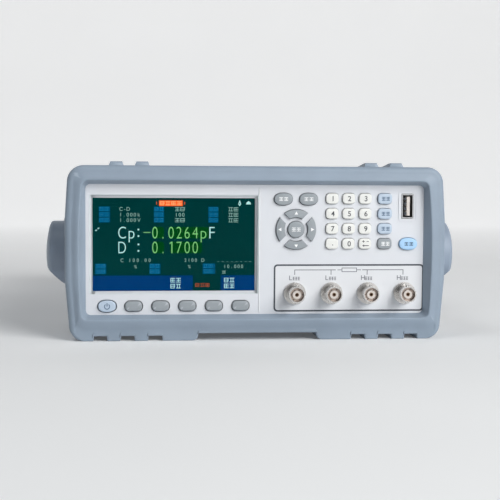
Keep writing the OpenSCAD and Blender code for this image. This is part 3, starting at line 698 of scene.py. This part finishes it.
def write(bm, text, x, z, height, pitch, y, thick, squeeze=1.0, thin=0.0):
    """Characters of equal pitch; x is the first cell's middle, z the middle of their height."""
    zero = glyph_mesh("0", thin)[0]
    low = min(v[1] for v in zero)
    scale = height / (max(v[1] for v in zero) - low)
    for i, char in enumerate(text):
        if char == " ":
            continue
        verts, faces = glyph_mesh(char, thin)
        mid = (min(v[0] for v in verts) + max(v[0] for v in verts)) / 2
        made = []
        for depth in (0, thick):
            made.append([bm.verts.new(at(x + i * pitch + (vx - mid) * scale * squeeze, y + depth,
                                         z - height / 2 + (vz - low) * scale)) for vx, vz in verts])
        front, back = made
        edges = {}
        for face in faces:
            bm.faces.new([front[k] for k in face])
            bm.faces.new([back[k] for k in reversed(face)])
            for a, b in zip(face, face[1:] + face[:1]):
                edges[(a, b)] = True
        for a, b in edges:
            if (b, a) not in edges:
                bm.faces.new((front[a], back[a], back[b], front[b]))


def piece(name, bm, material, body="case"):
    """A piece with flat shading."""
    finish_mesh(name, bm, material, body, 0)


# ---- printed lines on the panel ----------------------------------------------------

BNC_X = [22.3 + 22 * i for i in range(4)]
BNC_Z, BNC_OUT = -25.4, 11.4
FRAME_MID, FRAME_SIZE = (54.95, -22.3), (89.8, 27.6)
LABEL_X = [22.3 + 21.75 * i for i in range(4)]
BRACKET_Z, BRACKET_LINE = -11.6, 0.45
LABEL_Z = -16.3            # height of the letters over the terminals


def frame_outline(grow, r):
    """The terminal frame's outline, grown by so much and with corners of radius r."""
    return moved(rounded_outline(FRAME_SIZE[0] + grow, FRAME_SIZE[1] + grow, r), *FRAME_MID)


def make_panel_print():
    bm = bmesh.new()
    plate(bm, frame_outline(-0.8, 1.6), -0.03, 0.06)
    piece("terminal_field", bm, PANEL_LIGHT)
    bm = bmesh.new()
    plate(bm, frame_outline(0.5, 2.2), -0.06, 0.09, hole=frame_outline(-1.4, 1.4))
    piece("terminal_frame", bm, INK)
    bm = bmesh.new()
    y, z, half = -0.07, BRACKET_Z, BRACKET_LINE / 2
    for x0, x1 in ((LABEL_X[0], 46.6), (63.0, LABEL_X[3])):
        bar(bm, x0 - half, z - half, x1 + half, z + half, y, MARK_T)
    for x in LABEL_X:
        bar(bm, x - half, z - 2.9, x + half, z - half, y, MARK_T)
    # impedance symbol in the gap of the bracket
    box = [(50.6, z - 1.1), (59.4, z - 1.1), (59.4, z + 1.1), (50.6, z + 1.1)]
    stroke(bm, box, 0.42, y, MARK_T, closed=True)
    for x0, x1 in ((47.9, 50.4), (59.6, 62.1)):
        bar(bm, x0, z - 0.2, x1, z + 0.2, y, MARK_T)
    for x, text in zip(LABEL_X, "LLHH"):
        write(bm, text, x - 2.5, LABEL_Z, 2.8, 1, y, MARK_T, thin=0.01)
        marks(bm, x + 0.9, LABEL_Z - 0.4, y, 3, 1.2, 2.0, 0.35, 0.34)
    piece("terminal_marks", bm, INK_SOFT)
    # fine raised line between the screen side and the key side, coloured white as a painted highlight on
    # the step between them
    bm = bmesh.new()
    bar(bm, 0.95, -36.2, 1.35, 36.2, -0.08, 0.1)
    piece("panel_bevel_highlight", bm, LEGEND_WHITE_AND_HIGHLIGHT)


make_panel_print()


def make_springs():
    """Slotted spring ring inside each terminal socket, around its insulator."""
    bm = bmesh.new()
    for x in BNC_X:
        for k in range(6):
            ring = arc_points(x, BNC_Z, 3.95, 60 * k + 3, 60 * k + 57, 6)
            ring += arc_points(x, BNC_Z, 2.6, 60 * k + 57, 60 * k + 3, 6)
            plate(bm, ring, 2.6 - BNC_OUT, 3.0)
    piece("terminal_springs", bm, SPRING)


make_springs()

# ---- display ---------------------------------------------------------------------

# u and v are millimetres to the right of the screen's middle and above it.

LCD_MID = (-48.8, 3.4)
LCD_W, LCD_H = 95.0, 54.6
LCD_Y = 2.95               # depth of the lit face behind the panel's face
LAYER_STEP, LAYER_T = 0.02, 0.015      # spacing and thickness of the layers drawn on it
WORD_GAP = 0.5             # gap between the pictograms that stand for words
ROW = 3.2                  # pitch of the rows of labels
BIG_ROWS, BIG_H, BIG_PITCH = (6.9, -1.8), 6.9, 4.72
BIG_START = -11.3          # u of the first figure of a reading


def lcd(u, v):
    """Panel place of a point on the screen."""
    return LCD_MID[0] + u, LCD_MID[1] + v


def lcd_y(layer):
    return LCD_Y - LAYER_STEP * layer


def lcd_bar(bm, u0, v0, u1, v1, layer, r=0.0):
    bar(bm, *lcd(u0, v0), *lcd(u1, v1), lcd_y(layer), LAYER_T, r)


def lcd_text(bm, text, u, v, height, pitch, squeeze=1.0, thin=0.0):
    write(bm, text, *lcd(u, v), height, pitch, lcd_y(3), LAYER_T, squeeze, thin)


def lcd_big(bm, text, u, v, squeeze):
    lcd_text(bm, text, u, v, BIG_H, BIG_PITCH, squeeze, -0.012)


def lcd_words(bm, u, v, cells, w, h, line=0.3):
    """A row of square pictograms that stand for words, in four kinds."""
    for c in range(cells):
        u0 = u + c * (w + WORD_GAP)
        kind = (c + int(abs(u) * 3) + int(abs(v) * 5)) % 4
        for k in range(3):
            if kind == 2 and k == 1:
                continue
            start = u0 + (0.3 if k == 1 else 0.0)
            end = u0 + w - (0.4 if kind == 1 and k == 0 else 0.0)
            low = v - h / 2 + (h - line) * k / 2
            lcd_bar(bm, start, low, end, low + line, 2)
        for share in ((0.5,), (0.0, 0.85), (0.25, 0.75), (0.0, 0.5))[kind]:
            x = u0 + share * (w - line)
            lcd_bar(bm, x, v - h / 2, x + line, v + h / 2, 2)


def screen_piece(name, bm, look, colour):
    piece(name, bm, lit(look, colour))


def screen_ring(name, outer, inner, y, thick):
    """A pale ring in the painted-highlight colour of the bevel round the screen; outer and inner give each
    edge's excess over the screen, and its corner radius.
    """
    edges = [moved(rounded_outline(LCD_W + grow, LCD_H + grow, r), *LCD_MID) for grow, r in (outer, inner)]
    bm = bmesh.new()
    plate(bm, edges[0], y, thick, hole=edges[1])
    piece(name, bm, BORDER_HIGHLIGHT)


def make_screen_ground():
    bm = bmesh.new()
    lcd_bar(bm, -LCD_W / 2, -LCD_H / 2, LCD_W / 2, LCD_H / 2, 0)
    screen_piece("screen_ground", bm, "screen_teal", (0.0, 0.027, 0.027))
    # both rings are painted highlight: their pale cyan stands in for the light on the bevel round the
    # screen and over the window's edge
    screen_ring("screen_border_highlight", (3.1, 0.8), (0.0, 0.2), 1.6, 0.6)
    screen_ring("window_seal_highlight", (3.7, 1.1), (3.0, 0.8), 0.12, 0.4)


def make_screen_labels():
    """Blue labels over and under the readings, and the fields of the soft keys."""
    blue, words = bmesh.new(), bmesh.new()
    for u0, u1 in ((-43.8, -37.4), (-11.9, -6.0), (20.0, 25.9)):
        for row in range(3):
            lcd_bar(blue, u0, 19.25 - ROW * row, u1, 22.1 - ROW * row, 1)
            lcd_words(words, u0 + 0.35, 20.7 - ROW * row, 2, 2.4, 2.2)
    for u0, u1 in ((-47.3, -39.7), (-15.7, -8.1), (15.6, 24.1)):
        for row in range(2):
            lcd_bar(blue, u0 + 1.2, -14.2 - ROW * row, u1, -11.3 - ROW * row, 1)
            lcd_words(words, u0 + 1.6, -12.7 - ROW * row, 2, 2.5, 2.2)
    screen_piece("screen_labels", blue, "screen_blue", (0.0, 0.065, 0.15))
    screen_piece("screen_label_marks", words, "screen_blue_light", (0.005, 0.13, 0.25))
    navy = bmesh.new()
    for u0, u1 in ((-LCD_W / 2, 10.9), (27.4, LCD_W / 2)):
        lcd_bar(navy, u0, -LCD_H / 2, u1, -18.3, 1)
    screen_piece("screen_softkeys", navy, "screen_navy", (0.0, 0.03, 0.125))


def make_screen_tag():
    """Orange tag at the top with its words, and dim words between the soft keys' fields."""
    tag, dim, words = bmesh.new(), bmesh.new(), bmesh.new()
    lcd_bar(tag, -8.9, 22.5, 5.0, 25.8, 1, 0.3)
    for u in (-10.3, 6.1):
        lcd_bar(tag, u - 0.15, 23.3, u + 0.15, 25.0, 1)
    lcd_words(dim, 12.4, -24.0, 3, 2.5, 2.0, 0.32)
    lcd_words(words, -8.4, 24.15, 4, 2.8, 2.3, 0.45)
    screen_piece("screen_dim_mark", dim, "screen_orange_dim", (0.33, 0.06, 0.02))
    screen_piece("screen_tag", tag, "screen_orange", (0.72, 0.095, 0.015))
    screen_piece("screen_tag_marks", words, "screen_orange_light", (0.85, 0.3, 0.12))


def make_screen_readings():
    """Pale names and units, the soft glow behind the figures, and the two green readings."""
    pale = bmesh.new()
    for u0 in (-2.2, 29.4):
        for v in (-21.1, -24.6):
            lcd_words(pale, u0, v, 2, 2.8, 2.6, 0.36)
    # two status signs at the top right
    diamond = [(37.9, 23.8), (38.5, 25.6), (39.1, 23.8), (38.5, 23.0)]
    house = [(42.2, 23.6), (45.2, 23.6), (44.9, 24.7), (43.7, 25.6), (42.6, 24.7)]
    stroke(pale, [lcd(*p) for p in diamond], 0.5, lcd_y(3), LAYER_T, closed=True)
    plate(pale, [lcd(*p) for p in house], lcd_y(2), LAYER_T)
    upper, lower = BIG_ROWS
    for text, u, v, squeeze in (("C", -30.4, upper, 0.74), ("p", -24.9, upper, 0.86),
                                ("D", -30.4, lower, 0.7), ("F", 22.2, upper, 0.9)):
        lcd_big(pale, text, u, v, squeeze)
    for v in BIG_ROWS:
        for dv in (-2.5, 1.3):
            lcd_bar(pale, -21.4, v + dv, -20.4, v + dv + 1.0, 3, 0.3)
    for k in range(2):
        lcd_bar(pale, -46.0 + 1.4 * k, 7.9 + 1.2 * k, -45.0 + 1.4 * k, 8.5 + 1.2 * k, 2)
    screen_piece("screen_pale_text", pale, "screen_cyan", (0.36, 0.62, 0.6))

    glow = bmesh.new()
    for v, end in zip(BIG_ROWS, (20.6, 16.3)):
        for u0, u1 in ((-12.6, -5.9), (-2.5, end)):
            lcd_bar(glow, u0, v - 3.4, u1, v + 3.4, 2, 1.5)
    screen_piece("screen_glow", glow, "screen_glow", (0.0, 0.043, 0.006))

    green = bmesh.new()
    lcd_bar(green, -18.0, 6.8, -13.9, 7.25, 4)
    lcd_big(green, "0.0264", BIG_START, upper, 0.74)
    lcd_big(green, "p", 17.2, upper, 0.86)
    lcd_big(green, "0. 700", BIG_START, lower, 0.74)
    # a plain 1 in the blank of the lower reading
    u = BIG_START + BIG_PITCH * 2 + 0.2
    lcd_bar(green, u, -5.2, u + 0.62, 1.65, 4)
    stroke(green, [lcd(u - 1.1, 0.4), lcd(u + 0.3, 1.4)], 0.6, lcd_y(4), LAYER_T)
    screen_piece("screen_green_text", green, "screen_green", (0.16, 0.47, 0.15))


def make_screen_small_text():
    """Settings above the readings, and the smaller rows under them."""
    small = bmesh.new()
    for v in (17.4, 14.2):
        lcd_text(small, "1.000", -31.2, v, 2.2, 2.05)
    for text, u, v in (("100", 1.2, 17.4), ("k", -20.6, 17.4), ("V", -20.6, 14.2)):
        lcd_text(small, text, u, v, 2.2, 2.05)
    lcd_text(small, "C-D", -31.0, 20.7, 2.2, 2.1)
    for u0, v in ((0.4, 20.7), (0.4, 14.2), (31.8, 20.7), (31.8, 17.4), (31.8, 14.2)):
        lcd_words(small, u0, v, 2, 2.7, 2.3)
    lcd_text(small, "C 100.00", -30.5, -9.3, 2.1, 2.3, 0.9)
    lcd_text(small, "2100 D", 6.6, -9.3, 2.1, 2.05, 0.9)
    lcd_text(small, "10.000", 29.8, -13.0, 2.1, 2.05, 0.95)
    for u in (-22.6, 8.9):
        lcd_text(small, "%", u, -13.1, 2.0, 1, 0.9)
    lcd_words(small, 28.2, -16.4, 1, 2.2, 1.6)
    for k in range(8):
        lcd_bar(small, 25.4 + 2.7 * k, -10.3, 26.5 + 2.7 * k, -10.1, 2)
    screen_piece("screen_small_text", small, "screen_dim", (0.2, 0.36, 0.32))


make_screen_ground()
make_screen_labels()
make_screen_tag()
make_screen_readings()
make_screen_small_text()

# ---- ports -----------------------------------------------------------------------


def mid_of(node):
    """Middle of a node's box on the panel, in millimetres."""
    low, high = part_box(node)
    return (low[0] + high[0]) / 2 / MM, ((low[2] + high[2]) / 2 - PANEL_Z) / MM


def back_of(node):
    """Depth of a node's rear face behind the panel's face, in millimetres."""
    return (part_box(node)[1][1] - PANEL_Y) / MM


def make_port():
    """Black plate behind the tongue of the memory port, painted shade for the port's dark inside, and its
    four contacts.
    """
    x, z = mid_of("usb_shell")
    bm = bmesh.new()
    # black plate at the back of the port: painted shade for the dark inside of the port
    plate(bm, moved(rounded_outline(5.8, 13.1, 0.3), x, z), back_of("usb_shell") - 4.6, 0.1,
          hole=moved(rounded_outline(1.9, 11.2, 0.1), x + 0.55, z))
    piece("port_shade_well", bm, BLACK_AND_SHADE)
    bm = bmesh.new()
    for dz in (-4.4, -1.5, 1.5, 4.4):
        bar(bm, x - 1.7, z + dz - 0.75, x - 0.45, z + dz + 0.75, 1.0, 0.1, 0.2)
    piece("port_contacts", bm, INK)


make_port()


PIN_PITCH, PIN_ROW, PIN_R = 2.77, 1.42, 0.55     # contacts of a D connector


def make_rear_ports():
    """Black insulator with two rows of contacts in the face of each D connector."""
    for node, width, rows in (("serial_port", 16.9, (5, 4)), ("handler_port", 38.9, (13, 12))):
        x, z = mid_of(node)
        face = back_of(node)
        top, base, high = width / 2 - 0.7, width / 2 - 2.0, 3.5
        bm = bmesh.new()
        plate(bm, [(x - top, z + high), (x + top, z + high), (x + base, z - high), (x - base, z - high)],
              face - 0.01, 0.2)
        piece(node + "_insulator", bm, BLACK_AND_SHADE)
        bm = bmesh.new()
        for count, dz in zip(rows, (PIN_ROW, -PIN_ROW)):
            for k in range(count):
                pin = arc_points(x + PIN_PITCH * (k - (count - 1) / 2), z + dz, PIN_R, 0, 330, 11)
                plate(bm, pin, face + 0.1, 0.2)
        piece(node + "_contacts", bm, GOLD)


make_rear_ports()

# ---- keys ------------------------------------------------------------------------

KEY_BACK = 4.0             # depth of a key's rear face behind the panel's face
FLANGE_T = 0.8             # thickness of its flange
KEY_FACE = -KEY_OUT / MM   # depth of its front face


def make_key(node, outline, material, mid=None, flange=0.5, crown=0.5, dome=(0.7, 1.6)):
    """A moulded key: flange, straight wall, rounded rim and a slightly crowned face."""
    x, z = mid or mid_of(node)

    def level(inset, y):
        return [at(p[0] + x, y, p[1] + z) for p in inset_outline(outline, inset)]

    step = KEY_BACK - FLANGE_T
    rings = [level(-flange, KEY_BACK), level(-flange, step), level(0, step), level(0, KEY_FACE + crown)]
    for k in range(1, 5):
        a = radians(90 * k / 4)
        rings.append(level(crown * (1 - cos(a)), KEY_FACE + crown * (1 - sin(a))))
    for share, rise in zip(dome, (0.03, 0.06)):
        rings.append(level(crown + share, KEY_FACE - rise))
    bm = bmesh.new()
    loft(bm, rings, caps=True)
    obj = finish_mesh("cap_" + node[4:], bm, material, node + "_body", 45)
    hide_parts(node)


def legend(node, material, draw):
    """Legend moulded into a key's face; draw adds to the bmesh at the given depth."""
    bm = bmesh.new()
    draw(bm, KEY_FACE - 0.10)
    piece("legend_" + node[4:], bm, material, node + "_body")


def word_legend(node, material, shift, *sizes):
    """Two pictograms on a key, moved right by shift; sizes are their width, height, gap and line."""
    x, z = mid_of(node)
    legend(node, material, lambda bm, y: marks(bm, x + shift, z, y, 2, *sizes))


NUM_OUTLINE = rounded_outline(7.4, 6.2, 2.1)
SOFT_OUTLINE = rounded_outline(10.0, 5.9, 2.6, 7)
SIDE_OUTLINE = rounded_outline(8.4, 6.2, 2.2)
OVAL_OUTLINE = oval_outline(10.8, 7.1)
POWER_OUTLINE = oval_outline(10.2, 6.7)
RING_AT, RING_R, RING_HOLE, ENTER_R = mid_of("key_enter"), 11.8, 7.1, 4.9
RING_CUT = 2.45            # where the diagonal cuts between the arrow keys would start at the middle


def make_number_keys():
    nodes = ["key_%d" % k for k in range(1, 10)] + ["key_dot", "key_0", "key_sign"]
    for node in nodes:
        make_key(node, NUM_OUTLINE, KEY_WHITE)
        x, z = mid_of(node)
        x += 0.3

        def dot(bm, y):
            bar(bm, x - 0.3, z - 1.0, x + 0.3, z - 0.4, y, LEGEND_T, 0.25)

        def sign(bm, y):
            """A plus and a minus over an arrow to the left."""
            bar(bm, x - 2.0, z + 1.2, x - 0.6, z + 1.55, y, LEGEND_T)
            bar(bm, x - 1.48, z + 0.68, x - 1.12, z + 2.08, y, LEGEND_T)
            bar(bm, x + 0.6, z + 1.2, x + 2.0, z + 1.55, y, LEGEND_T)
            bar(bm, x - 1.0, z - 1.3, x + 1.9, z - 0.9, y, LEGEND_T)
            plate(bm, [(x - 2.0, z - 1.1), (x - 0.9, z - 1.8), (x - 0.9, z - 0.4)], y, LEGEND_T)

        def number(bm, y):
            write(bm, node[4:], x, z, 3.1, 1, y, LEGEND_T, thin=0.012)

        legend(node, LEGEND_DARK, {"key_dot": dot, "key_sign": sign}.get(node, number))


def make_side_keys():
    for row in range(4):
        node = "key_side_%d" % (row + 1)
        blue = row < 3
        make_key(node, SIDE_OUTLINE, KEY_BLUE if blue else KEY_GREY)
        word_legend(node, LEGEND_BLUE if blue else LEGEND_WHITE_AND_HIGHLIGHT, 0.4, 2.2, 2.2, 0.5, 0.4)


def make_soft_keys():
    for i in range(5):
        make_key("key_soft_%d" % (i + 1), SOFT_OUTLINE, KEY_GREY, crown=0.8)


def make_oval_keys():
    for node in ("key_oval_left", "key_oval_right"):
        make_key(node, OVAL_OUTLINE, KEY_GREY)
        word_legend(node, LEGEND_WHITE_AND_HIGHLIGHT, 0.0, 2.3, 2.1, 0.7, 0.38)
    make_key("key_power", POWER_OUTLINE, KEY_BLUE)
    x, z = mid_of("key_power")

    def power_sign(bm, y):
        stroke(bm, arc_points(x, z - 0.1, 1.5, 125, 415, 20), 0.5, y, LEGEND_T)
        bar(bm, x - 0.25, z, x + 0.25, z + 1.9, y, LEGEND_T)

    legend("key_power", LEGEND_BLUE, power_sign)
    make_key("key_trigger", OVAL_OUTLINE, KEY_SKY)
    word_legend("key_trigger", LEGEND_BLUE, 0.3, 2.3, 2.1, 0.6, 0.42)


def arrow_outline(quarter):
    """A quarter of the ring between two diagonal cuts, anticlockwise."""
    def crossing(r):
        # where z = |x| + RING_CUT meets the circle of radius r
        x = (-RING_CUT + sqrt(2 * r * r - RING_CUT * RING_CUT)) / 2
        return degrees(atan2(x + RING_CUT, x))
    a_out, a_in = crossing(RING_R), crossing(RING_HOLE)
    points = arc_points(0, 0, RING_R, a_out, 180 - a_out, 18)
    points += arc_points(0, 0, RING_HOLE, 180 - a_in, a_in, 12)
    turn = radians(-90 * quarter)
    return [(x * cos(turn) - z * sin(turn), x * sin(turn) + z * cos(turn)) for x, z in points]


def make_arrow_keys():
    """Four arrow keys, each made about the ring's middle, and the round key inside them."""
    for q, way in enumerate(("up", "right", "down", "left")):
        node = "key_" + way
        make_key(node, arrow_outline(q), KEY_GREY, RING_AT, flange=0.3, crown=0.35, dome=())
        x, z = arc_points(*RING_AT, (RING_R + RING_HOLE) / 2, 90 - 90 * q, 90 - 90 * q, 1)[0]
        arrow = arc_points(x, z, 1.25, 90 - 90 * q, 330 - 90 * q, 2)
        legend(node, LEGEND_WHITE_AND_HIGHLIGHT, lambda bm, y: plate(bm, arrow, y, LEGEND_T))
    circle = arc_points(0, 0, ENTER_R, 0, 352.5, 47)
    make_key("key_enter", circle, KEY_GREY, flange=0.4)
    word_legend("key_enter", LEGEND_WHITE_AND_HIGHLIGHT, 0.0, 2.3, 2.2, 0.6, 0.36)


make_number_keys()
make_side_keys()
make_soft_keys()
make_oval_keys()
make_arrow_keys()

# ---- floor, light and finish -------------------------------------------------------


def make_stage():
    """Pale floor that curves up into a backdrop far behind the meter."""
    n = Nodes("floor_pale")
    base = n.ramp(n.noise(3.0, 2.0), [(0.3, (0.72, 0.73, 0.74)), (0.7, (0.75, 0.76, 0.77))])
    n.link(base, n.bsdf.inputs["Base Color"])
    n.bsdf.inputs["Roughness"].default_value = 0.95
    n.bsdf.inputs["Specular IOR Level"].default_value = 0.1
    n.bsdf.inputs["Emission Color"].default_value = (1, 1, 1, 1)
    split = n.add("ShaderNodeSeparateXYZ")
    n.link(n.coords, split.inputs["Vector"])
    # the floor in front hardly glows, and the backdrop glows more
    glow = n.range(split.outputs["Y"], 0.06, 0.5, 1.6)
    n.link(glow, n.bsdf.inputs["Emission Strength"])
    bm = bmesh.new()
    half, back, r = 12.0, 1.6, 1.2
    profile = [(-9.0, 0.0), (back, 0.0)]
    profile += [(back + r * sin(radians(a)), r - r * cos(radians(a))) for a in range(6, 90, 6)]
    profile += [(back + r, 5.0)]
    loft(bm, [[Vector((-half, y, z)), Vector((half, y, z))] for y, z in profile], closed=False)
    mesh = bpy.data.meshes.new("floor")
    bm.to_mesh(mesh)
    bm.free()
    mesh.shade_smooth()
    mesh.materials.append(n.mat)
    floor = bpy.data.objects.new("floor", mesh)
    bpy.context.scene.collection.objects.link(floor)


def area_light(name, place, target, size, power, colour):
    """A rectangular lamp aimed at target; places and sizes in metres, power in watts."""
    data = bpy.data.lights.new(name, "AREA")
    data.shape, data.size, data.size_y = "RECTANGLE", size[0], size[1]
    data.energy, data.color = power, colour
    lamp = bpy.data.objects.new(name, data)
    lamp.location = place
    lamp.rotation_euler = (Vector(target) - Vector(place)).to_track_quat("-Z", "Y").to_euler()
    bpy.context.scene.collection.objects.link(lamp)


def make_light():
    world = bpy.data.worlds.new("studio")
    world.use_nodes = True
    sky = world.node_tree.nodes["Background"]
    sky.inputs["Color"].default_value = (0.93, 0.96, 1, 1)
    sky.inputs["Strength"].default_value = 0.065
    bpy.context.scene.world = world
    area_light("key_light", (1.1, -1.45, 1.1), (0, -0.1, 0.05), (1.3, 1.1), 36, (1, 0.99, 0.97))
    area_light("front_fill", (0.9, -1.8, 0.45), (0, 0, 0.05), (0.8, 0.5), 7, (0.95, 0.98, 1))
    area_light("left_glow", (-0.7, -0.55, 1.5), (-0.12, -0.12, 0.05), (0.8, 0.6), 6, (0.95, 0.98, 1))


make_stage()
make_light()
bpy.context.scene.view_settings.view_transform = "Standard"
